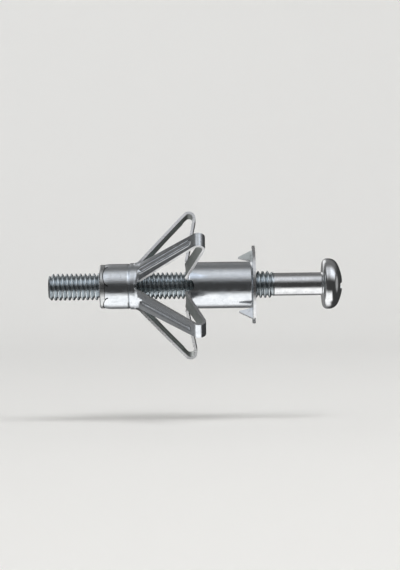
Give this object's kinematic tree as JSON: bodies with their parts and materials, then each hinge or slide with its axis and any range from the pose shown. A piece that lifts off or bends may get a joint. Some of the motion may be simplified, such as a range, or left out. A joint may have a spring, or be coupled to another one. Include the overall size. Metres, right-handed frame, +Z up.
{
  "type": "hollow wall anchor",
  "caption": "Metal hollow wall anchor in its set state: a flanged slotted sleeve with folded legs, a captive nut and a pan head machine screw.",
  "frame": {"origin": "on the screw's axis, in the plane where the flange bears on the face of the wall", "axes": "+X along the screw toward its head and away from the wall, +Z up in the picture, -Y toward the picture's camera"},
  "size_m": [0.0643, 0.0312, 0.0328],
  "materials": {
    "sleeve_steel": "zinc plated pressed steel",
    "nut_steel": "zinc plated turned steel",
    "screw_steel": "bright zinc plated steel"
  },
  "bodies": {
    "anchor": {"expansion_sleeve": "sleeve_steel", "captive_nut": "nut_steel"},
    "screw": {"machine_screw": "screw_steel"}
  },
  "joints": [
    {"name": "screw_travel", "type": "slide", "parent": "anchor", "child": "screw", "axis": [1, 0, 0], "range_m": [-0.014, 0.016]}
  ]
}
